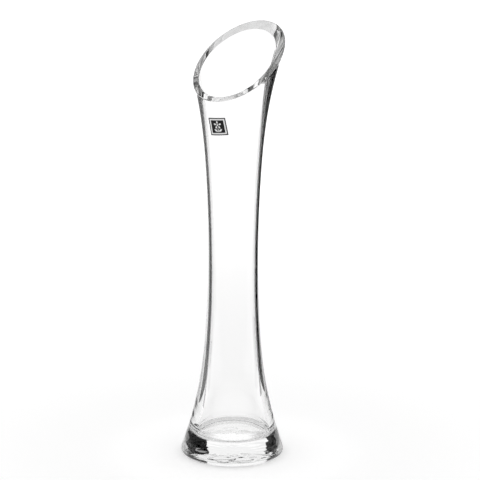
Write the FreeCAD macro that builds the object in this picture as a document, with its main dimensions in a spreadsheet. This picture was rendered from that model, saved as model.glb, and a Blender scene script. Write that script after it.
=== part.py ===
import FreeCAD
import Part
import Sketcher
import math
import os

# A waisted bud vase of clear glass, with a slanted mouth and a thick foot, and its stuck-on label.
# Millimetres. Z is up and the origin is the centre of the plane that the foot stands on. The low
# side of the mouth faces -Y and its high lip faces +Y.

SIZES = [
    # The outer wall is one cubic curve on seven control points, from the table to above the mouth.
    ("outer_radius_1", 37.0),
    ("outer_height_1", 0.0),
    ("outer_radius_2", 29.5),
    ("outer_height_2", 20.0),
    ("outer_radius_3", 19.5),
    ("outer_height_3", 60.0),
    ("outer_radius_4", 16.9),
    ("outer_height_4", 130.0),
    ("outer_radius_5", 18.25),
    ("outer_height_5", 200.0),
    ("outer_radius_6", 24.0),
    ("outer_height_6", 261.0),
    ("outer_radius_7", 40.1),
    ("outer_height_7", 304.0),
    # The bore is another, from the cavity floor to the same height.
    ("bore_radius_1", 27.2),
    ("bore_height_1", 13.6),
    ("bore_radius_2", 21.7),
    ("bore_height_2", 26.5),
    ("bore_radius_3", 16.1),
    ("bore_height_3", 80.1),
    ("bore_radius_4", 14.7),
    ("bore_height_4", 130.1),
    ("bore_radius_5", 16.3),
    ("bore_height_5", 208.3),
    ("bore_radius_6", 23.8),
    ("bore_height_6", 280.3),
    ("bore_radius_7", 34.7),
    ("bore_height_7", 304.0),
    # The bore isn't quite true to the outside: its axis crosses the table plane this far to +X, and
    # leans by this angle towards this azimuth, which is counted from +X towards +Y.
    ("bore_shift", 0.5),
    ("bore_lean", 0.174),
    ("bore_lean_azimuth", 147.0),
    ("floor_corner_radius", 4.0),
    ("heel_radius", 3.2),
    # The underside is pressed up into a shallow dish, which leaves a ring to stand on.
    ("dish_radius", 28.0),
    ("dish_depth", 1.2),
    # The mouth is cut by a plane that meets the vase's axis at this height.
    ("mouth_height", 273.62),
    ("mouth_slant", 34.5),
    ("mouth_bevel", 0.4),
    ("mouth_cut_reach", 60.0),
    ("mouth_cut_top", 340.0),
    # The label is a stack of layers on the glass, each given by how far its faces stand off it.
    ("label_azimuth", -82.5),
    ("label_height", 238.0),
    ("label_tilt", 7.0),
    ("label_width", 13.2),
    ("label_length", 12.5),
    ("label_wrap", 50.0),
    ("adhesive_top", 0.04),
    ("film_top", 0.12),
    ("print_top", 0.15),
    ("adhesive_inset", 0.3),
    ("border_width", 0.8),
    ("panel_inset", 1.75),
    # The emblem is a five-petalled flower on a stem with two leaves, left clear in the panel.
    ("emblem_rise", 1.1),
    ("petal_count", 5),
    ("petal_inner", 0.95),
    ("petal_outer", 2.95),
    ("petal_arc_radius", 1.15),
    ("flower_eye_radius", 0.62),
    ("stem_width", 0.5),
    ("stem_top", -2.35),
    ("stem_foot", -5.0),
    ("leaf_base_x", 0.45),
    ("leaf_base_y", -4.7),
    ("leaf_tip_x", 2.9),
    ("leaf_tip_y", -2.9),
    ("leaf_arc_radius", 2.1),
]

CURVE_DEGREE = 3
POLE_COUNT = 7
START = 1
END = 2
CENTRE = 3
SKETCH_ORIGIN = (-1, 1)
HORIZONTAL_AXIS = -1
VERTICAL_AXIS = -2
ON_PLANE = 0.01
EDGE_SAMPLES = 9


def make_sheet(doc):
    """The spreadsheet that every size is read from."""
    sheet = doc.addObject("Spreadsheet::Sheet", "Sizes")
    for row, (alias, value) in enumerate(SIZES, start=1):
        sheet.set(f"A{row}", alias.replace("_", " "))
        sheet.set(f"B{row}", str(value))
        sheet.setAlias(f"B{row}", alias)
    doc.recompute()
    return sheet


def new_body(doc, name):
    body = doc.addObject("PartDesign::Body", name)
    body.Label = name
    return body


def new_sketch(body, name, role):
    """A sketch on one of the body's own origin planes."""
    sketch = body.newObject("Sketcher::SketchObject", name)
    plane = next(item for item in body.Origin.OriginFeatures if item.Role == role)
    sketch.AttachmentSupport = [(plane, "")]
    sketch.MapMode = "FlatFace"
    return sketch


def bind(sketch, constraint, name, expression):
    """Add a named constraint whose value comes from the sheet."""
    sketch.renameConstraint(sketch.addConstraint(constraint), name)
    sketch.setExpression(f"Constraints.{name}", expression)


def place_point(sketch, geometry, position, name, x_expression, y_expression):
    """Hold a point at sheet-driven coordinates, either of which may be None for on the axis."""
    point = sketch.getPoint(geometry, position)
    if x_expression is None:
        on_axis = Sketcher.Constraint("PointOnObject", geometry, position, VERTICAL_AXIS)
        sketch.addConstraint(on_axis)
    else:
        across = Sketcher.Constraint("DistanceX", *SKETCH_ORIGIN, geometry, position, point.x)
        bind(sketch, across, name + "_x", x_expression)
    if y_expression is None:
        on_axis = Sketcher.Constraint("PointOnObject", geometry, position, HORIZONTAL_AXIS)
        sketch.addConstraint(on_axis)
    else:
        along = Sketcher.Constraint("DistanceY", *SKETCH_ORIGIN, geometry, position, point.y)
        bind(sketch, along, name + "_y", y_expression)


def wall_curve(sketch, sheet, wall, stand_off=None):
    """One wall's curve, optionally moved outward to the top of a label layer."""
    shift = sheet.get(stand_off) if stand_off else 0.0
    poles = []
    for number in range(1, POLE_COUNT + 1):
        radius = sheet.get(f"{wall}_radius_{number}") + shift
        poles.append(FreeCAD.Vector(radius, sheet.get(f"{wall}_height_{number}"), 0))
    spline = Part.BSplineCurve(poles, None, None, False, CURVE_DEGREE, None, False)
    curve = sketch.addGeometry(spline, False)
    sketch.exposeInternalGeometry(curve)
    for number in range(1, POLE_COUNT + 1):
        across = f"Sizes.{wall}_radius_{number}"
        if stand_off:
            across = f"{across} + Sizes.{stand_off}"
        along = f"Sizes.{wall}_height_{number}"
        place_point(sketch, curve + number, CENTRE, f"{sketch.Name}_{curve}_{number}", across, along)
    return curve


def add_line(sketch, start, end):
    line = Part.LineSegment(FreeCAD.Vector(*start, 0), FreeCAD.Vector(*end, 0))
    return sketch.addGeometry(line, False)


def join(sketch, first, first_end, second, second_end):
    sketch.addConstraint(Sketcher.Constraint("Coincident", first, first_end, second, second_end))


def bridge(sketch, first, second, end):
    """A line between the same end of two curves."""
    near = sketch.getPoint(first, end)
    far = sketch.getPoint(second, end)
    line = add_line(sketch, (near.x, near.y), (far.x, far.y))
    join(sketch, first, end, line, START)
    join(sketch, line, END, second, end)


def add_polygon(sketch, name, corners, places):
    """Straight sides round some corners, each of them held at its place from the sheet."""
    count = len(corners)
    sides = [add_line(sketch, corners[side], corners[(side + 1) % count]) for side in range(count)]
    for side in range(count):
        join(sketch, sides[side], END, sides[(side + 1) % count], START)
    for side, (across, along) in enumerate(places):
        place_point(sketch, sides[side], START, f"{name}_{side}", across, along)


def close_to_axis(sketch, sheet, curve, wall):
    """Close a wall's curve with a flat top, the axis and a flat bottom."""
    bottom_radius = sheet.get(f"{wall}_radius_1")
    bottom_height = sheet.get(f"{wall}_height_1")
    top_radius = sheet.get(f"{wall}_radius_{POLE_COUNT}")
    top_height = sheet.get(f"{wall}_height_{POLE_COUNT}")
    top = add_line(sketch, (top_radius, top_height), (0, top_height))
    axis = add_line(sketch, (0, top_height), (0, bottom_height))
    bottom = add_line(sketch, (0, bottom_height), (bottom_radius, bottom_height))
    join(sketch, curve, END, top, START)
    join(sketch, top, END, axis, START)
    join(sketch, axis, END, bottom, START)
    join(sketch, bottom, END, curve, START)
    sketch.addConstraint(Sketcher.Constraint("Horizontal", top))
    sketch.addConstraint(Sketcher.Constraint("Horizontal", bottom))
    sketch.addConstraint(Sketcher.Constraint("PointOnObject", top, END, VERTICAL_AXIS))
    sketch.addConstraint(Sketcher.Constraint("PointOnObject", bottom, START, VERTICAL_AXIS))


def spin(body, kind, name, sketch, angle=360):
    """Revolve or groove a sketch round its vertical axis."""
    feature = body.newObject(f"PartDesign::{kind}", name)
    feature.Profile = (sketch, [""])
    feature.ReferenceAxis = (sketch, ["V_Axis"])
    feature.Angle = angle
    sketch.Visibility = False
    return feature


def cut_through(body, name, sketch):
    """Pocket a sketch right through the body, both ways from its plane."""
    pocket = body.newObject("PartDesign::Pocket", name)
    pocket.Profile = (sketch, [""])
    pocket.SideType = "Symmetric"
    pocket.Type = "ThroughAll"
    sketch.Visibility = False
    return pocket


def require_cut(before, after):
    """Recompute, and stop if the second feature took nothing off the first."""
    before.Document.recompute()
    if after.Shape.Volume >= before.Shape.Volume:
        raise RuntimeError(f"{after.Name} removed nothing")


def edges_on_plane(feature, base, normal):
    """Names of the feature's edges that lie in the plane through a point, square to the normal."""
    names = []
    for number, edge in enumerate(feature.Shape.Edges, start=1):
        if edge.Degenerated:
            continue
        points = edge.discretize(EDGE_SAMPLES)
        if all(abs((point - base).dot(normal)) < ON_PLANE for point in points):
            names.append(f"Edge{number}")
    if not names:
        raise RuntimeError(f"no edge found on {feature.Name}")
    return names


def dress(body, kind, name, base, names, size_property, expression):
    """Fillet or chamfer some edges of a feature."""
    feature = body.newObject(f"PartDesign::{kind}", name)
    feature.Base = (base, names)
    feature.setExpression(size_property, expression)
    body.Document.recompute()
    return feature


def outer_blank(body, sheet):
    """Solid glass to the outer wall, with its heel rounded."""
    outline = new_sketch(body, "outer_outline", "YZ_Plane")
    curve = wall_curve(outline, sheet, "outer")
    close_to_axis(outline, sheet, curve, "outer")
    blank = spin(body, "Revolution", "outer_blank", outline)
    body.Document.recompute()
    heel_edges = edges_on_plane(blank, FreeCAD.Vector(), FreeCAD.Vector(0, 0, 1))
    return dress(body, "Fillet", "heel", blank, heel_edges, "Radius", "Sizes.heel_radius")


def press_dish(body, sheet, base):
    """Shallow domed hollow under the foot."""
    depth = sheet.get("dish_depth")
    radius = sheet.get("dish_radius")
    section = new_sketch(body, "dish_section", "YZ_Plane")
    bottom = add_line(section, (0, 0), (radius, 0))
    crown_radius = (radius ** 2 + depth ** 2) / (2 * depth)
    half_angle = math.asin(radius / crown_radius)
    crown = Part.Circle(FreeCAD.Vector(0, depth - crown_radius, 0), FreeCAD.Vector(0, 0, 1), crown_radius)
    quarter = math.pi / 2
    dome = section.addGeometry(Part.ArcOfCircle(crown, quarter - half_angle, quarter), False)
    axis = add_line(section, (0, depth), (0, 0))
    join(section, bottom, START, *SKETCH_ORIGIN)
    join(section, bottom, END, dome, START)
    join(section, dome, END, axis, START)
    join(section, axis, END, bottom, START)
    section.addConstraint(Sketcher.Constraint("PointOnObject", dome, CENTRE, VERTICAL_AXIS))
    place_point(section, bottom, END, "dish_edge", "Sizes.dish_radius", None)
    place_point(section, axis, START, "dish_crown", None, "Sizes.dish_depth")
    dish = spin(body, "Groove", "underside_dish", section)
    require_cut(base, dish)
    return dish


def sink_bore(body, sheet, base):
    """The cavity, about its own axis, with a rounded corner at its floor."""
    outline = new_sketch(body, "bore_outline", "YZ_Plane")
    outline.setExpression("AttachmentOffset.Base.z", "Sizes.bore_shift")
    outline.setExpression("AttachmentOffset.Rotation.Axis.x", "cos(Sizes.bore_lean_azimuth * 1deg)")
    outline.setExpression("AttachmentOffset.Rotation.Axis.y", "0")
    outline.setExpression("AttachmentOffset.Rotation.Axis.z", "-sin(Sizes.bore_lean_azimuth * 1deg)")
    outline.setExpression("AttachmentOffset.Rotation.Angle", "Sizes.bore_lean")
    curve = wall_curve(outline, sheet, "bore")
    close_to_axis(outline, sheet, curve, "bore")
    bore = spin(body, "Groove", "bore", outline)
    require_cut(base, bore)
    floor_centre = outline.Placement.multVec(FreeCAD.Vector(0, sheet.get("bore_height_1"), 0))
    floor_normal = outline.Placement.Rotation.multVec(FreeCAD.Vector(0, 1, 0))
    corner = edges_on_plane(bore, floor_centre, floor_normal)
    return dress(body, "Fillet", "floor_corner", bore, corner, "Radius", "Sizes.floor_corner_radius")


def cut_mouth(body, sheet, base):
    """The slanted mouth, with both of its edges bevelled."""
    reach = sheet.get("mouth_cut_reach")
    top = sheet.get("mouth_cut_top")
    height = sheet.get("mouth_height")
    slant = math.radians(sheet.get("mouth_slant"))
    slope = math.tan(slant)
    low = height - reach * slope
    high = height + reach * slope
    fall = "Sizes.mouth_cut_reach * tan(Sizes.mouth_slant * 1deg)"
    places = [
        ("-Sizes.mouth_cut_reach", f"Sizes.mouth_height - {fall}"),
        ("Sizes.mouth_cut_reach", f"Sizes.mouth_height + {fall}"),
        ("Sizes.mouth_cut_reach", "Sizes.mouth_cut_top"),
        ("-Sizes.mouth_cut_reach", "Sizes.mouth_cut_top"),
    ]
    section = new_sketch(body, "mouth_section", "YZ_Plane")
    add_polygon(section, "corner", [(-reach, low), (reach, high), (reach, top), (-reach, top)], places)
    mouth = cut_through(body, "mouth", section)
    require_cut(base, mouth)
    normal = FreeCAD.Vector(0, -math.sin(slant), math.cos(slant))
    edges = edges_on_plane(mouth, FreeCAD.Vector(0, 0, height), normal)
    dress(body, "Chamfer", "mouth_bevel", mouth, edges, "Size", "Sizes.mouth_bevel")


def make_glass(doc, sheet):
    """The vase: one piece of glass."""
    body = new_body(doc, "glass_body")
    blank = outer_blank(body, sheet)
    dished = press_dish(body, sheet, blank)
    bored = sink_bore(body, sheet, dished)
    cut_mouth(body, sheet, bored)
    return body


def label_layer(doc, sheet, name, lower, upper, inset):
    """A patch of the shell between two stand-offs, trimmed to the label's outline less an inset.

    The layer is built facing +X and turned to the label's place by the body's Placement.
    """
    body = new_body(doc, name)
    section = new_sketch(body, name + "_section", "XZ_Plane")
    inside = wall_curve(section, sheet, "outer", lower)
    outside = wall_curve(section, sheet, "outer", upper)
    bridge(section, inside, outside, START)
    bridge(section, inside, outside, END)
    shell = spin(body, "Revolution", name + "_shell", section)
    shell.setExpression("Angle", "Sizes.label_wrap")
    shell.Midplane = True
    outline = label_sketch(body, name + "_outline")
    reach = sheet.get("mouth_cut_top")
    add_rectangle(outline, name + "_waste", "2 * Sizes.mouth_cut_top", "2 * Sizes.mouth_cut_top", reach)
    width = f"Sizes.label_width - 2 * ({inset})"
    length = f"Sizes.label_length - 2 * ({inset})"
    add_rectangle(outline, name + "_edge", width, length, sheet.get("label_width") / 2)
    trimmed = cut_through(body, name + "_trim", outline)
    require_cut(shell, trimmed)
    turn = FreeCAD.Rotation(FreeCAD.Vector(0, 0, 1), sheet.get("label_azimuth"))
    body.Placement = FreeCAD.Placement(FreeCAD.Vector(), turn)
    return body


def label_sketch(body, name, rise=None):
    """A sketch facing +X whose origin is the label's centre, tilted as the label is."""
    sketch = new_sketch(body, name, "YZ_Plane")
    centre = "Sizes.label_height"
    if rise:
        sketch.setExpression("AttachmentOffset.Base.x", f"-{rise} * sin(Sizes.label_tilt * 1deg)")
        centre = f"{centre} + {rise} * cos(Sizes.label_tilt * 1deg)"
    sketch.setExpression("AttachmentOffset.Base.y", centre)
    sketch.setExpression("AttachmentOffset.Rotation.Angle", "Sizes.label_tilt")
    return sketch


def add_rectangle(sketch, name, width, length, guess):
    """A rectangle centred on the sketch's origin."""
    corners = [(-guess, -guess), (guess, -guess), (guess, guess), (-guess, guess)]
    signs = [("-", "-"), ("", "-"), ("", ""), ("-", "")]
    places = [(f"{across}({width}) / 2", f"{along}({length}) / 2") for across, along in signs]
    add_polygon(sketch, name, corners, places)


def place_value(sheet, place):
    """What a signed sheet cell comes to, or nought for on the axis."""
    if place is None:
        return 0
    sign, cell = place
    return sign * sheet.get(cell)


def place_expression(place):
    """A signed sheet cell as an expression, or None for on the axis."""
    if place is None:
        return None
    sign, cell = place
    return f"{sign} * Sizes.{cell}"


def add_lens(sketch, sheet, name, radius_cell, base, tip):
    """A leaf or petal: two equal arcs from its base to its tip.

    Each end is a pair of places, across and along, as a sign and a sheet cell, or None for on the axis.
    """
    radius = sheet.get(radius_cell)
    base_point = FreeCAD.Vector(*[place_value(sheet, place) for place in base], 0)
    tip_point = FreeCAD.Vector(*[place_value(sheet, place) for place in tip], 0)
    chord = tip_point - base_point
    middle = (base_point + tip_point) / 2
    across = FreeCAD.Vector(-chord.y, chord.x, 0).normalize()
    sag = radius - math.sqrt(radius ** 2 - (chord.Length / 2) ** 2)
    arcs = []
    for side, ends in ((-1, (base_point, tip_point)), (1, (tip_point, base_point))):
        arc = Part.ArcOfCircle(ends[0], middle + across * sag * side, ends[1])
        arcs.append(sketch.addGeometry(arc, False))
    join(sketch, arcs[0], END, arcs[1], START)
    join(sketch, arcs[1], END, arcs[0], START)
    place_point(sketch, arcs[0], START, name + "_base", *[place_expression(place) for place in base])
    place_point(sketch, arcs[0], END, name + "_tip", *[place_expression(place) for place in tip])
    for number, arc in enumerate(arcs):
        bend = Sketcher.Constraint("Radius", arc, radius)
        bind(sketch, bend, f"{name}_bend_{number}", f"Sizes.{radius_cell}")


def cut_petals(body, sheet, base):
    """Five petals round the flower's centre."""
    petal_outline = label_sketch(body, "petal_outline", "Sizes.emblem_rise")
    inner_end = (None, (1, "petal_inner"))
    outer_end = (None, (1, "petal_outer"))
    add_lens(petal_outline, sheet, "petal", "petal_arc_radius", inner_end, outer_end)
    petal = cut_through(body, "petal", petal_outline)
    require_cut(base, petal)
    petals = body.newObject("PartDesign::PolarPattern", "petals")
    petals.Originals = [petal]
    petals.Axis = (petal_outline, ["N_Axis"])
    petals.Angle = 360
    petals.setExpression("Occurrences", "Sizes.petal_count")
    body.Tip = petals
    require_cut(petal, petals)
    return petals


def cut_stalk(body, sheet, base):
    """The flower's eye, its stem and a leaf on each side."""
    outline = label_sketch(body, "stalk_outline", "Sizes.emblem_rise")
    eye_circle = Part.Circle(FreeCAD.Vector(), FreeCAD.Vector(0, 0, 1), sheet.get("flower_eye_radius"))
    eye = outline.addGeometry(eye_circle, False)
    join(outline, eye, CENTRE, *SKETCH_ORIGIN)
    size = Sketcher.Constraint("Radius", eye, sheet.get("flower_eye_radius"))
    bind(outline, size, "eye_radius", "Sizes.flower_eye_radius")
    half = sheet.get("stem_width") / 2
    foot = sheet.get("stem_foot")
    top = sheet.get("stem_top")
    places = [
        ("-Sizes.stem_width / 2", "Sizes.stem_foot"),
        ("Sizes.stem_width / 2", "Sizes.stem_foot"),
        ("Sizes.stem_width / 2", "Sizes.stem_top"),
        ("-Sizes.stem_width / 2", "Sizes.stem_top"),
    ]
    add_polygon(outline, "stem", [(-half, foot), (half, foot), (half, top), (-half, top)], places)
    for name, hand in (("left_leaf", -1), ("right_leaf", 1)):
        base_end = ((hand, "leaf_base_x"), (1, "leaf_base_y"))
        tip_end = ((hand, "leaf_tip_x"), (1, "leaf_tip_y"))
        add_lens(outline, sheet, name, "leaf_arc_radius", base_end, tip_end)
    stalk = cut_through(body, "stalk", outline)
    require_cut(base, stalk)


def make_label(doc, sheet):
    """The label's glue, film and two printed areas, from the glass outward."""
    adhesive = label_layer(doc, sheet, "label_adhesive", None, "adhesive_top", "Sizes.adhesive_inset")
    film = label_layer(doc, sheet, "label_film", "adhesive_top", "film_top", "0")
    border = label_layer(doc, sheet, "label_border_print", "film_top", "print_top", "0")
    patch = border.Tip
    window = label_sketch(border, "border_window")
    window_width = "Sizes.label_width - 2 * Sizes.border_width"
    window_length = "Sizes.label_length - 2 * Sizes.border_width"
    add_rectangle(window, "window", window_width, window_length, sheet.get("label_width") / 2)
    require_cut(patch, cut_through(border, "border_opening", window))
    panel = label_layer(doc, sheet, "label_panel_print", "film_top", "print_top", "Sizes.panel_inset")
    petals = cut_petals(panel, sheet, panel.Tip)
    cut_stalk(panel, sheet, petals)
    return [adhesive, film, border, panel]


def check(doc, bodies):
    """Stop if any feature failed or any sub-part isn't a sound solid."""
    for item in doc.Objects:
        if "Invalid" in item.State or "Error" in item.State:
            raise RuntimeError(f"{item.Name} failed: {item.State}")
    for body in bodies:
        if body.Shape.isNull() or not body.Shape.isValid() or not body.Shape.Solids:
            raise RuntimeError(f"{body.Label} isn't a valid solid")


def main():
    doc = FreeCAD.newDocument("bud_vase")
    sheet = make_sheet(doc)
    bodies = [make_glass(doc, sheet)]
    bodies += make_label(doc, sheet)
    doc.recompute()
    check(doc, bodies)
    os.makedirs("parts", exist_ok=True)
    for body in bodies:
        body.Shape.exportStep(os.path.join("parts", body.Label + ".step"))
        box = body.Shape.BoundBox
        print(
            f"{body.Label}: {len(body.Shape.Solids)} solid(s), {body.Shape.Volume:.3f} mm3,"
            f" x {box.XMin:.3f} {box.XMax:.3f}, y {box.YMin:.3f} {box.YMax:.3f},"
            f" z {box.ZMin:.3f} {box.ZMax:.3f}"
        )


main()
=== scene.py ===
import bmesh
import bpy
import math
from mathutils import Matrix, Vector, noise


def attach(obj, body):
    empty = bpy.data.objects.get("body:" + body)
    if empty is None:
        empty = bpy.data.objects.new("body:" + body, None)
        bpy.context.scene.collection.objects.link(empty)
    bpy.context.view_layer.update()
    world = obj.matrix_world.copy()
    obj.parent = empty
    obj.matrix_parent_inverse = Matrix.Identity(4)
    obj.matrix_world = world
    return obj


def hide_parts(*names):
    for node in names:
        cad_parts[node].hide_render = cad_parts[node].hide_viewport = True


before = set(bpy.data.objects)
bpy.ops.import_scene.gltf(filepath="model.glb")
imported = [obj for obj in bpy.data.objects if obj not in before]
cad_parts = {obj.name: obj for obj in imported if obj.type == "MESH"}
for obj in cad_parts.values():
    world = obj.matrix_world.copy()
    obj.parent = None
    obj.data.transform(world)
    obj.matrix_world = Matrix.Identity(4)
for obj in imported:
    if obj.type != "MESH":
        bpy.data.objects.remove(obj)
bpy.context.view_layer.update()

# ---- The glass, in millimetres ----

MM = 0.001

# The section, as in the CAD model. Each wall is a cubic curve on seven control points, which are radius
# and height, turned round its own axis.
OUTER_POLES = [(37.0, 0), (29.5, 20), (19.5, 60), (16.9, 130), (18.25, 200), (24.0, 261), (40.1, 304)]
BORE_POLES = [
    (27.2, 13.6), (21.7, 26.5), (16.1, 80.1), (14.7, 130.1), (16.3, 208.3), (23.8, 280.3), (34.7, 304),
]
FLOOR_HEIGHT = BORE_POLES[0][1]
FLOOR_CORNER_RADIUS = 4.0
HEEL_RADIUS = 3.2
DISH_RADIUS = 28.0
DISH_DEPTH = 1.2

# The bore stands a little off centre and leans.
BORE_SHIFT = 0.5
BORE_LEAN = math.tan(math.radians(0.174))
BORE_LEAN_AZIMUTH = math.radians(147.0)

# The mouth's plane crosses the outside's axis at this height and rises towards +Y. Its edges are
# rounded, a little deeper than the CAD model's flat bevels.
MOUTH_HEIGHT = 273.62
MOUTH_SLOPE = math.tan(math.radians(34.5))
MOUTH_BEVEL = 0.45

# The pressed glass is slightly uneven under the foot and round its side, up to FOOT_TOP. Each ripple has
# a depth and the lengths over which it fades in and out. Its waves are how many go round the vase, how
# long each is down the section, and a seed.
DISH_RIPPLE = 0.12
DISH_FADES = (12, 3)
DISH_WAVES = (22, 3.5, 3.0)
FOOT_RIPPLE = 0.12
FOOT_FADES = (3, 6)
FOOT_WAVES = (16, 2.6, 8.0)
FOOT_TOP = 22.0

# How finely the glass is cut: columns round the vase, and rows down each stretch of the section. The
# outer wall's rows crowd together towards the foot.
COLUMNS = 384
CURVE_STEPS = 600
DISH_ROWS = 28
RING_ROWS = 5
HEEL_ROWS = 12
WALL_ROWS = 160
WALL_CROWDING = 1.5
BEVEL_ROWS = 4
FACE_ROWS = 6
BORE_ROWS = 120
CORNER_ROWS = 16
FLOOR_ROWS = 13

# The search for the height at which a wall meets the mouth's plane. Each step closes this share of the
# gap, and the search stays below the curves' ends.
RIM_STEPS = 60
RIM_STEP_SHARE = 0.6
RIM_LIMIT = 303.9


def bspline_point(poles, t):
    """A point of a clamped uniform cubic B-spline, by de Boor's rule."""
    spans = len(poles) - 3
    knots = [0.0] * 3 + [k / spans for k in range(spans + 1)] + [1.0] * 3
    span = min(int(t * spans), spans - 1) + 3
    work = [Vector(poles[span - 3 + k]) for k in range(4)]
    for level in range(1, 4):
        for k in range(3, level - 1, -1):
            left = knots[span - 3 + k]
            right = knots[span + 1 + k - level]
            blend = (t - left) / (right - left)
            work[k] = work[k - 1].lerp(work[k], blend)
    return work[3]


def curve_points(poles):
    """Points set close together along the curve on these control points."""
    return [bspline_point(poles, k / CURVE_STEPS) for k in range(CURVE_STEPS + 1)]


def radius_at(curve, z):
    """A curve's radius at this height, on the line between the points above and below it."""
    low, high = 0, len(curve) - 1
    while high - low > 1:
        middle = (low + high) // 2
        if curve[middle].y <= z:
            low = middle
        else:
            high = middle
    below, above = curve[low], curve[high]
    return below.x + (above.x - below.x) * (z - below.y) / (above.y - below.y)


def outer_axis(z):
    """The point of the outside's axis at this height."""
    return Vector((0, 0, z))


def bore_axis(z):
    """The point of the bore's axis at this height."""
    lean = BORE_LEAN * z
    x = BORE_SHIFT + lean * math.cos(BORE_LEAN_AZIMUTH)
    y = lean * math.sin(BORE_LEAN_AZIMUTH)
    return Vector((x, y, z))


# Each wall is its curve and its axis.
outer_wall = (curve_points(OUTER_POLES), outer_axis)
bore_wall = (curve_points(BORE_POLES), bore_axis)


def wall_point(wall, direction, z):
    """The point of a wall at this height, in this direction from the wall's axis."""
    curve, axis = wall
    return direction * radius_at(curve, z) + axis(z)


def rim_height(wall, angle):
    """The height at which a wall meets the mouth's plane, in the direction of the angle."""
    curve, axis = wall
    z = MOUTH_HEIGHT
    for _ in range(RIM_STEPS):
        y = radius_at(curve, min(z, RIM_LIMIT)) * math.sin(angle) + axis(z).y
        z += RIM_STEP_SHARE * (MOUTH_HEIGHT + y * MOUTH_SLOPE - z)
    return z


def inward_lean(poles):
    """How far from upright a wall leans inwards where it starts, as an angle."""
    start, following = poles[:2]
    return math.atan2(start[0] - following[0], following[1] - start[1])


def corner_run(radius, lean):
    """How far a rounded corner reaches along the flat that an inward-leaning wall stands on."""
    return radius / math.tan((math.pi / 2 - lean) / 2)


def bezier(a, b, c, t):
    """A point of the rounded corner from a to c, with its control point at b."""
    return a.lerp(b, t).lerp(b.lerp(c, t), t)


def fractions(rows):
    """Equal steps from one row past the start up to 1."""
    return [k / rows for k in range(1, rows + 1)]


def fade(value, start, end, rise, fall):
    """0 at the start and the end and 1 between them, rising and falling over these lengths."""
    return min(1.0, (value - start) / rise) * min(1.0, (end - value) / fall)


def ripple(point, around, along, seed):
    """A smooth unevenness of the pressed glass, between -1 and 1."""
    angle = math.atan2(point.y, point.x)
    reach = around / (2 * math.pi)
    across = Vector((math.cos(angle) * reach, math.sin(angle) * reach, 0))
    return noise.noise(across + Vector((seed, 0, (point.z + point.xy.length) / along)))


def dish_points(direction):
    """The shallow dish under the foot, part of a sphere, from near its middle out to its edge."""
    sphere_radius = (DISH_RADIUS ** 2 + DISH_DEPTH ** 2) / (2 * DISH_DEPTH)
    points = []
    for t in fractions(DISH_ROWS):
        r = DISH_RADIUS * t
        z = DISH_DEPTH - (sphere_radius - math.sqrt(sphere_radius ** 2 - r ** 2))
        point = direction * r + outer_axis(z)
        point.z += DISH_RIPPLE * fade(r, 0, DISH_RADIUS, *DISH_FADES) * ripple(point, *DISH_WAVES)
        points.append(point)
    return points


def foot_points(direction):
    """The flat ring that the vase stands on, then the rounded heel up to the outer wall."""
    lean = inward_lean(OUTER_POLES)
    ring_end = OUTER_POLES[0][0] - corner_run(HEEL_RADIUS, lean)
    points = [direction * (DISH_RADIUS + (ring_end - DISH_RADIUS) * t) for t in fractions(RING_ROWS)]
    centre = direction * ring_end + outer_axis(HEEL_RADIUS)
    for t in fractions(HEEL_ROWS):
        turn = (math.pi / 2 + lean) * t
        out = direction * HEEL_RADIUS * math.sin(turn)
        points.append(centre + out - outer_axis(HEEL_RADIUS * math.cos(turn)))
    return points


def outer_points(direction, start, end):
    """The outer wall between two heights."""
    points = []
    for t in fractions(WALL_ROWS):
        point = wall_point(outer_wall, direction, start + (end - start) * t ** WALL_CROWDING)
        if point.z < FOOT_TOP:
            share = fade(point.z, start, FOOT_TOP, *FOOT_FADES)
            point += direction * FOOT_RIPPLE * share * ripple(point, *FOOT_WAVES)
        points.append(point)
    return points


def mouth_points(direction, outer_top, bore_top):
    """The mouth's ground face, with a rounded edge on each side."""
    outer_edge = wall_point(outer_wall, direction, outer_top)
    bore_edge = wall_point(bore_wall, direction, bore_top)
    across = (bore_edge - outer_edge).normalized()
    outer_end = wall_point(outer_wall, direction, outer_top - MOUTH_BEVEL)
    face_start = outer_edge + across * MOUTH_BEVEL
    face_end = bore_edge - across * MOUTH_BEVEL
    bore_start = wall_point(bore_wall, direction, bore_top - MOUTH_BEVEL)
    points = [bezier(outer_end, outer_edge, face_start, t) for t in fractions(BEVEL_ROWS)]
    points += [face_start.lerp(face_end, t) for t in fractions(FACE_ROWS)]
    points += [bezier(face_end, bore_edge, bore_start, t) for t in fractions(BEVEL_ROWS)]
    return points


def cavity_points(direction, start):
    """The bore's wall from this height down, its rounded corner, and the floor to near its middle."""
    lean = inward_lean(BORE_POLES)
    run = corner_run(FLOOR_CORNER_RADIUS, lean)
    end = FLOOR_HEIGHT + run * math.cos(lean)
    points = [wall_point(bore_wall, direction, start + (end - start) * t) for t in fractions(BORE_ROWS)]
    middle = bore_axis(FLOOR_HEIGHT)
    flat = BORE_POLES[0][0] - run
    for t in fractions(CORNER_ROWS):
        turn = (math.pi / 2 + lean) * (1 - t)
        r = flat + FLOOR_CORNER_RADIUS * math.sin(turn)
        rise = FLOOR_CORNER_RADIUS * (1 - math.cos(turn))
        points.append(direction * r + middle + outer_axis(rise))
    points += [direction * (flat * (1 - t)) + middle for t in fractions(FLOOR_ROWS)[:-1]]
    return points


def column(angle):
    """Points down one side of the section, from the dish's middle round to the floor's middle."""
    direction = Vector((math.cos(angle), math.sin(angle), 0))
    outer_top = rim_height(outer_wall, angle)
    bore_top = rim_height(bore_wall, angle)
    points = dish_points(direction) + foot_points(direction)
    points += outer_points(direction, points[-1].z, outer_top - MOUTH_BEVEL)
    points += mouth_points(direction, outer_top, bore_top)
    points += cavity_points(direction, points[-1].z)
    return points


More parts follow.
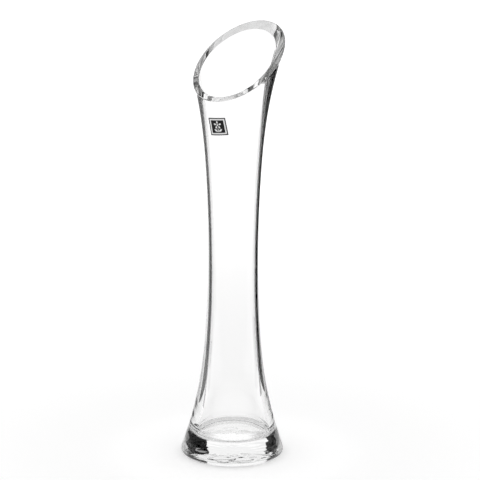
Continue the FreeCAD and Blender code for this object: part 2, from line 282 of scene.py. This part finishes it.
def glass_mesh():
    """The whole vase as one closed mesh, in metres."""
    mesh = bmesh.new()
    grid = []
    for k in range(COLUMNS):
        grid.append([mesh.verts.new(point * MM) for point in column(2 * math.pi * k / COLUMNS)])
    dish_middle = mesh.verts.new(outer_axis(DISH_DEPTH) * MM)
    floor_middle = mesh.verts.new(bore_axis(FLOOR_HEIGHT) * MM)
    for k, here in enumerate(grid):
        beside = grid[(k + 1) % COLUMNS]
        for row in range(len(here) - 1):
            mesh.faces.new((here[row], beside[row], beside[row + 1], here[row + 1]))
    for k, here in enumerate(grid):
        beside = grid[(k + 1) % COLUMNS]
        mesh.faces.new((dish_middle, beside[0], here[0]))
        mesh.faces.new((floor_middle, here[-1], beside[-1]))
    for face in mesh.faces:
        face.smooth = True
    bmesh.ops.recalc_face_normals(mesh, faces=mesh.faces)
    data = bpy.data.meshes.new("glass")
    mesh.to_mesh(data)
    mesh.free()
    return data


# ---- Parts of a node tree ----


def new_material(name):
    """A material with Blender's usual shader, and its node tree."""
    material = bpy.data.materials.new(name)
    material.use_nodes = True
    return material, material.node_tree


def math_node(tree, operation, first, second):
    """The result of a sum on two values, each a number or a socket."""
    node = tree.nodes.new("ShaderNodeMath")
    node.operation = operation
    for socket, value in zip(node.inputs, (first, second)):
        if isinstance(value, bpy.types.NodeSocket):
            tree.links.new(value, socket)
        else:
            socket.default_value = value
    return node.outputs["Value"]


def map_range(tree, value, source, result, interpolation="LINEAR"):
    """A socket's value, with the source range mapped to the result range and held at its ends."""
    node = tree.nodes.new("ShaderNodeMapRange")
    node.interpolation_type = interpolation
    for name, number in zip(("From Min", "From Max", "To Min", "To Max"), (*source, *result)):
        node.inputs[name].default_value = number
    tree.links.new(value, node.inputs["Value"])
    return node.outputs["Result"]


def coordinates(tree, kind):
    """A point's coordinates of this kind."""
    return tree.nodes.new("ShaderNodeTexCoord").outputs[kind]


def separate(tree, vector):
    """The X, Y and Z of a vector."""
    axes = tree.nodes.new("ShaderNodeSeparateXYZ")
    tree.links.new(vector, axes.inputs[0])
    return axes.outputs


def fine_noise(tree, vector, scale, detail):
    """Noise in space, around 0.5."""
    speckle = tree.nodes.new("ShaderNodeTexNoise")
    speckle.inputs["Scale"].default_value = scale
    speckle.inputs["Detail"].default_value = detail
    tree.links.new(vector, speckle.inputs["Vector"])
    return speckle.outputs["Fac"]


def mix_colours(tree, factor, first):
    """A node that mixes two colours, with its factor and its first colour set."""
    mix = tree.nodes.new("ShaderNodeMix")
    mix.data_type = "RGBA"
    mix.inputs["A"].default_value = (*first, 1)
    tree.links.new(factor, mix.inputs["Factor"])
    return mix


# ---- The glass's look ----

WHITE = (1, 1, 1)
GLASS_IOR = 1.52

# The ground look of the mouth's face, which is rougher and tinted with painted shade and light: gone at
# the first of these depths under the mouth's plane and full at the second, in metres.
GROUND_BAND = (0.0006, 0.0001)
# The ground face's grey is painted shade.
RIM_PAINTED_SHADE = 0.45
RIM_ROUGHNESS = 0.05

# Where the ground face is painted lighter, a painted light where more light comes through it: an azimuth
# in degrees from +X, the distances out along it at which the lighter part starts and is complete, in
# metres, and how light it gets.
RIM_PAINTED_LIGHTS = [(215, 0.004, 0.026, 0.97), (35, 0.024, 0.031, 0.85), (305, 0.004, 0.018, 0.8)]

# Faint marks on the ground face: how fine they are, and how much they darken and lighten it over the
# range that most of the noise lies in.
MARK_SCALE = 260
MARK_DETAIL = 2
MARK_NOISE = (0.3, 0.7)
MARK_TONES = (0.86, 1.06)


def depth_under_mouth(tree, axes):
    """How far a point lies under the mouth's plane, measured straight down, in metres."""
    rise = math_node(tree, "MULTIPLY", axes["Y"], MOUTH_SLOPE)
    depth = math_node(tree, "SUBTRACT", rise, axes["Z"])
    return math_node(tree, "ADD", depth, MOUTH_HEIGHT * MM)


def rim_painted_shade_and_light(tree, axes):
    """The ground face's tint: a grey that is painted shade, painted lighter towards the edge in a few
    directions.
    """
    tone = RIM_PAINTED_SHADE
    for azimuth, start, end, painted_lightness in RIM_PAINTED_LIGHTS:
        turn = math.radians(azimuth)
        along_x = math_node(tree, "MULTIPLY", axes["X"], math.cos(turn))
        along_y = math_node(tree, "MULTIPLY", axes["Y"], math.sin(turn))
        distance = math_node(tree, "ADD", along_x, along_y)
        clear = map_range(tree, distance, (start, end), (RIM_PAINTED_SHADE, painted_lightness), "SMOOTHSTEP")
        tone = math_node(tree, "MAXIMUM", tone, clear)
    return tone


def glass_material():
    """Clear glass, with the mouth's ground face rougher than the polished walls and greyer, in painted
    shade that is painted lighter in a few directions.
    """
    material, tree = new_material("clear_glass")
    shader = tree.nodes["Principled BSDF"]
    shader.inputs["Transmission Weight"].default_value = 1
    shader.inputs["IOR"].default_value = GLASS_IOR
    place = coordinates(tree, "Object")
    axes = separate(tree, place)
    ground = map_range(tree, depth_under_mouth(tree, axes), GROUND_BAND, (0, 1), "SMOOTHSTEP")
    marks = map_range(tree, fine_noise(tree, place, MARK_SCALE, MARK_DETAIL), MARK_NOISE, MARK_TONES)
    # The ground face's base colour carries painted shade and painted light, mixed in by the ground look's
    # mask.
    tint = mix_colours(tree, ground, WHITE)
    tree.links.new(math_node(tree, "MULTIPLY", rim_painted_shade_and_light(tree, axes), marks), tint.inputs["B"])
    tree.links.new(tint.outputs["Result"], shader.inputs["Base Color"])
    roughness = math_node(tree, "MULTIPLY", ground, RIM_ROUGHNESS)
    tree.links.new(roughness, shader.inputs["Roughness"])
    return material


glass = bpy.data.objects.new("vase_glass", glass_mesh())
bpy.context.collection.objects.link(glass)
glass.data.materials.append(glass_material())
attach(glass, "root")
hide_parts("glass_body")

# ---- The label ----

# Each layer's two tones, how fine its grain is along x, y and z, its roughness and its specular level.
LABEL_LOOKS = {
    "label_adhesive": ((0.74, 0.74, 0.70), (0.86, 0.86, 0.83), (900, 900, 900), 0.60, 0.5),
    "label_film": ((0.70, 0.70, 0.70), (0.86, 0.86, 0.87), (300, 300, 3500), 0.35, 0.5),
    "label_border_print": ((0.035, 0.035, 0.038), (0.07, 0.07, 0.074), (1500, 1500, 1500), 0.45, 0.25),
    "label_panel_print": ((0.006, 0.006, 0.007), (0.018, 0.018, 0.02), (1500, 1500, 1500), 0.45, 0.2),
}
LABEL_DETAIL = 3
GLOSS_SPREAD = 0.06


def mottled_material(name, dark, light, grain, rough, specular):
    """Label stock, glue or ink: two close tones mixed by fine noise, which also varies the gloss."""
    material, tree = new_material(name)
    shader = tree.nodes["Principled BSDF"]
    shader.inputs["Specular IOR Level"].default_value = specular
    stretch = tree.nodes.new("ShaderNodeMapping")
    stretch.inputs["Scale"].default_value = grain
    tree.links.new(coordinates(tree, "Object"), stretch.inputs["Vector"])
    speckle = fine_noise(tree, stretch.outputs["Vector"], 1, LABEL_DETAIL)
    tone = mix_colours(tree, speckle, dark)
    tone.inputs["B"].default_value = (*light, 1)
    gloss = map_range(tree, speckle, (0, 1), (rough - GLOSS_SPREAD, rough + GLOSS_SPREAD))
    tree.links.new(tone.outputs["Result"], shader.inputs["Base Color"])
    tree.links.new(gloss, shader.inputs["Roughness"])
    return material


for node, look in LABEL_LOOKS.items():
    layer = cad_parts[node]
    layer.data.materials.clear()
    layer.data.materials.append(mottled_material(node, *look))

# ---- The camera, in metres ----

CAMERA_AZIMUTH = math.radians(35.2)
CAMERA_ELEVATION = math.radians(15.69)
CAMERA_ROLL = math.radians(0.26)
CAMERA_DISTANCE = 2.403
SENSOR_WIDTH = 36  # in millimetres, like the lens
VIEW_WIDTH = 0.3295

# The camera aims at this height on the vase's axis, then this far to the right and up in its own view.
AIM_HEIGHT = 0.1476
AIM_RIGHT = 0.00475
AIM_UP = 0.00526


def add_camera():
    """The scene's camera, whose view is VIEW_WIDTH across at the vase."""
    level = math.cos(CAMERA_ELEVATION)
    back = Vector((
        math.sin(CAMERA_AZIMUTH) * level,
        -math.cos(CAMERA_AZIMUTH) * level,
        math.sin(CAMERA_ELEVATION),
    ))
    data = bpy.data.cameras.new("camera")
    data.sensor_width = SENSOR_WIDTH
    data.lens = SENSOR_WIDTH / VIEW_WIDTH * CAMERA_DISTANCE
    camera = bpy.data.objects.new("camera", data)
    bpy.context.collection.objects.link(camera)
    bpy.context.scene.camera = camera
    rotation = (-back).to_track_quat("-Z", "Y")
    right = rotation @ Vector((1, 0, 0))
    up = rotation @ Vector((0, 1, 0))
    target = Vector((0, 0, AIM_HEIGHT)) + right * AIM_RIGHT + up * AIM_UP
    camera.rotation_mode = "QUATERNION"
    camera.rotation_quaternion = rotation @ Matrix.Rotation(CAMERA_ROLL, 4, "Z").to_quaternion()
    camera.location = target + back * CAMERA_DISTANCE
    bpy.context.view_layer.update()
    return camera


camera = add_camera()

# ---- The studio, in metres ----

# The cards and panels hang on this, which turns with the camera about the vase's axis, so they light the
# vase in the same way from all sides.
studio = bpy.data.objects.new("studio", None)
bpy.context.collection.objects.link(studio)
follow = studio.constraints.new("COPY_ROTATION")
follow.target = camera
follow.use_x = False
follow.use_y = False

LEFT = -1
RIGHT = 1
ARC_STEPS = 12

# The floor lies just under the foot, so that the two never share a plane.
FLOOR_REACH = 9.0
FLOOR_DROP = 0.0002
PAPER_WHITE = (0.9, 0.9, 0.9)

# How strongly the floor glows at these distances from the vase's axis. The glow is painted light, and its
# dips under the foot's ring and round the vase are a painted shadow.
FLOOR_PAINTED_LIGHT_AND_SHADOW = [
    (0.0, 0.88), (0.012, 0.88), (0.02, 0.5), (0.034, 0.52), (0.042, 0.645), (0.05, 0.66), (0.07, 0.68),
    (0.1, 0.65), (0.2, 0.67), (0.28, 0.68), (0.38, 0.71), (0.5, 0.78), (0.7, 0.88), (1.0, 0.9),
]

# The arc that the far cards end on, the heights of the cards that stand on it, and how far to the side
# of its axis light leaves the vase.
CARD_REACH = 3.0
WALL_HEIGHT = 1.45
HIGH_WALL_HEIGHT = 3.2
EXIT_SIDE = 0.02

# The card on the floor in front starts this far along Y.
FRONT_START = -0.03

# A narrow card on the floor to the right, which widens towards the far arc.
STRIP_CORNERS = [(0.23, 0.6), (0.66, 3.0), (1.1, 3.0), (0.235, 0.6)]

# Cards that lie over each other on the floor each have a height of their own.
STRIP_LIFT = 0.0004
FRONT_LIFT = 0.0005
CARD_LIFT = 0.0006
FILM_LIFT = 0.0009
TOP_FILM_LIFT = 0.0012


def rectangle(left, right, start, end, height):
    """The corners of a level rectangle from left to right and from start to end along Y, and its face."""
    corners = [(left, start, height), (right, start, height), (right, end, height), (left, end, height)]
    return corners, [(0, 1, 2, 3)]


def strip(first, second):
    """The points of a strip between two rows of points, and its faces."""
    count = len(first)
    faces = [(k, k + 1, count + k + 1, count + k) for k in range(count - 1)]
    return first + second, faces


def arc(side, inner, outer, reach, height):
    """Points on an arc round the vase's axis, between two angles in degrees from straight behind it."""
    points = []
    for k in range(ARC_STEPS + 1):
        turn = math.radians(inner + (outer - inner) * k / ARC_STEPS)
        points.append((side * (reach * math.sin(turn)), reach * math.cos(turn), height))
    return points


def edge_angle(inner, reach):
    """Where a card's inner edge, which leaves the glass at its side, crosses an arc."""
    return inner + math.degrees(EXIT_SIDE * math.cos(math.radians(inner)) / reach)


def stage_mesh(name, points, faces, material):
    """A piece of the floor or the studio, which isn't part of the object."""
    data = bpy.data.meshes.new(name)
    data.from_pydata(points, [], faces)
    data.materials.append(material)
    obj = bpy.data.objects.new(name, data)
    bpy.context.collection.objects.link(obj)
    return obj


def floor_material():
    """Matt white paper with painted light and shadow. It glows most under the middle of the foot and far
    from the vase, and less round the foot, in a painted shadow.
    """
    material, tree = new_material("floor")
    shader = tree.nodes["Principled BSDF"]
    shader.inputs["Base Color"].default_value = (*PAPER_WHITE, 1)
    shader.inputs["Roughness"].default_value = 1
    shader.inputs["Specular IOR Level"].default_value = 0
    shader.inputs["Emission Color"].default_value = (*WHITE, 1)
    reach = tree.nodes.new("ShaderNodeVectorMath")
    reach.operation = "LENGTH"
    tree.links.new(coordinates(tree, "Object"), reach.inputs[0])
    painted_light_ramp = tree.nodes.new("ShaderNodeFloatCurve")
    curve = painted_light_ramp.mapping.curves[0]
    curve.points[0].location = FLOOR_PAINTED_LIGHT_AND_SHADOW[0]
    curve.points[1].location = FLOOR_PAINTED_LIGHT_AND_SHADOW[-1]
    for distance, glow in FLOOR_PAINTED_LIGHT_AND_SHADOW[1:-1]:
        curve.points.new(distance, glow)
    painted_light_ramp.mapping.update()
    tree.links.new(math_node(tree, "MINIMUM", reach.outputs["Value"], 1.0), painted_light_ramp.inputs["Value"])
    # The floor's emission is painted light, dimmed into a painted shadow round the foot.
    tree.links.new(painted_light_ramp.outputs["Value"], shader.inputs["Emission Strength"])
    return material


def single_shader_material(name, kind):
    """A material that is only one shader node of this kind, and the node."""
    material, tree = new_material(name)
    tree.nodes.clear()
    shader = tree.nodes.new(kind)
    output = tree.nodes.new("ShaderNodeOutputMaterial")
    tree.links.new(shader.outputs[0], output.inputs["Surface"])
    return material, shader


def hang_in_studio(name, points, faces, material):
    """A piece that shows only in reflections and through glass, and throws no shadow."""
    piece = stage_mesh(name, points, faces, material)
    piece.parent = studio
    piece.visible_camera = False
    piece.visible_diffuse = False
    piece.visible_shadow = False


def make_card(name, points, faces, grey):
    """A dark card or film: what is seen through it keeps only this much of its light."""
    material, film = single_shader_material(name, "ShaderNodeBsdfTransparent")
    film.inputs["Color"].default_value = (grey, grey, grey, 1)
    hang_in_studio(name, points, faces, material)


def make_panel(name, points, faces, strength):
    """A light panel."""
    material, lamp = single_shader_material(name, "ShaderNodeEmission")
    lamp.inputs["Strength"].default_value = strength
    hang_in_studio(name, points, faces, material)


def near_card(name, side, start, reach, inner, outer, grey):
    """A card lying on the floor behind the vase, from this far back out to an arc."""
    points = [(side * (EXIT_SIDE + start * math.tan(math.radians(inner))), start, CARD_LIFT)]
    points += arc(side, edge_angle(inner, reach), outer, reach, CARD_LIFT)
    make_card(name, points, [tuple(range(len(points)))], grey)


def ring_card(name, side, near, far, inner, outer, grey, lift=CARD_LIFT):
    """A card lying on the floor between two arcs."""
    inside = arc(side, edge_angle(inner, near), outer, near, lift)
    outside = arc(side, edge_angle(inner, far), outer, far, lift)
    make_card(name, *strip(inside, outside), grey)


def wall_card(name, side, inner, outer, height, grey, reach=CARD_REACH):
    """A card standing on an arc."""
    bottom = arc(side, inner, outer, reach, 0)
    top = arc(side, inner, outer, reach, height)
    make_card(name, *strip(bottom, top), grey)


def wall_panel(name, inner, outer, bottom, top, strength):
    """A light panel standing on the far arc, between two heights."""
    low = arc(RIGHT, inner, outer, CARD_REACH, bottom)
    high = arc(RIGHT, inner, outer, CARD_REACH, top)
    make_panel(name, *strip(low, high), strength)


floor_shape = rectangle(-FLOOR_REACH, FLOOR_REACH, -FLOOR_REACH, FLOOR_REACH, -FLOOR_DROP)
stage_mesh("floor", *floor_shape, floor_material())
wall_panel("back_panel", inner=-32, outer=21, bottom=0.76, top=1.9, strength=0.94)
make_panel("top_panel", *rectangle(left=-1.6, right=1.6, start=0.5, end=2.1, height=2.0), strength=0.95)
near_card("near_card_right", RIGHT, start=0.099, reach=0.25, inner=19, outer=64, grey=0.0)
wall_card("low_card_right", RIGHT, inner=23.3, outer=75, height=0.085, grey=0.0, reach=0.25)
ring_card("film_right_1", RIGHT, near=0.25, far=0.48, inner=20, outer=75, grey=0.82)
ring_card("film_right_2", RIGHT, near=0.25, far=0.48, inner=31, outer=75, grey=0.62, lift=FILM_LIFT)
ring_card("far_card_right", RIGHT, near=0.48, far=CARD_REACH, inner=19, outer=75, grey=0.0)
near_card("near_card_left", LEFT, start=0.082, reach=0.25, inner=26, outer=68, grey=0.13)
ring_card("far_card_left", LEFT, near=0.25, far=CARD_REACH, inner=26, outer=75, grey=0.08)
ring_card("film_right_3", RIGHT, near=0.12, far=0.33, inner=7, outer=20, grey=0.88, lift=FILM_LIFT)
ring_card("film_right_4", RIGHT, near=0.12, far=0.33, inner=12, outer=20, grey=0.82, lift=TOP_FILM_LIFT)
ring_card("film_left", LEFT, near=0.12, far=0.26, inner=13, outer=27, grey=0.84, lift=FILM_LIFT)
wall_card("wall_card_right", RIGHT, inner=21, outer=122, height=WALL_HEIGHT, grey=0.0)
wall_card("high_card_right", RIGHT, inner=40, outer=122, height=HIGH_WALL_HEIGHT, grey=0.0)
wall_card("high_card_left", LEFT, inner=40, outer=122, height=HIGH_WALL_HEIGHT, grey=0.03)
wall_card("wall_card_left", LEFT, inner=32, outer=122, height=WALL_HEIGHT, grey=0.03)
wall_card("front_card_right", RIGHT, inner=122, outer=180, height=WALL_HEIGHT, grey=0.5)
wall_card("front_card_left", LEFT, inner=122, outer=180, height=WALL_HEIGHT, grey=0.5)
front_shape = rectangle(-CARD_REACH, CARD_REACH, FRONT_START, -CARD_REACH, FRONT_LIFT)
make_card("front_card", *front_shape, grey=0.45)
make_card("grey_strip", [(x, y, STRIP_LIFT) for x, y in STRIP_CORNERS], [(0, 1, 2, 3)], grey=0.35)

# ---- The surroundings and the light's path ----

# A direction's height runs from -1, straight down, to 1, straight up. The surroundings shine with the
# first strength up to the first of these heights, and with the second from the second height on.
SKY_FADE = (0.25, 0.40)
SKY_STRENGTHS = (1.05, 0.30)

# Light is reflected many times inside the glass before it leaves.
MAX_BOUNCES = 40
GLASS_BOUNCES = 32


def add_world():
    """White surroundings, as bright low down as SKY_STRENGTHS says, and dimmer above."""
    world = bpy.data.worlds.new("world")
    bpy.context.scene.world = world
    world.use_nodes = True
    tree = world.node_tree
    background = tree.nodes["Background"]
    background.inputs["Color"].default_value = (*WHITE, 1)
    height = separate(tree, coordinates(tree, "Generated"))["Z"]
    tree.links.new(map_range(tree, height, SKY_FADE, SKY_STRENGTHS), background.inputs["Strength"])


add_world()
bpy.context.scene.view_settings.view_transform = "Standard"
bpy.context.scene.cycles.max_bounces = MAX_BOUNCES
bpy.context.scene.cycles.glossy_bounces = GLASS_BOUNCES
bpy.context.scene.cycles.transmission_bounces = GLASS_BOUNCES
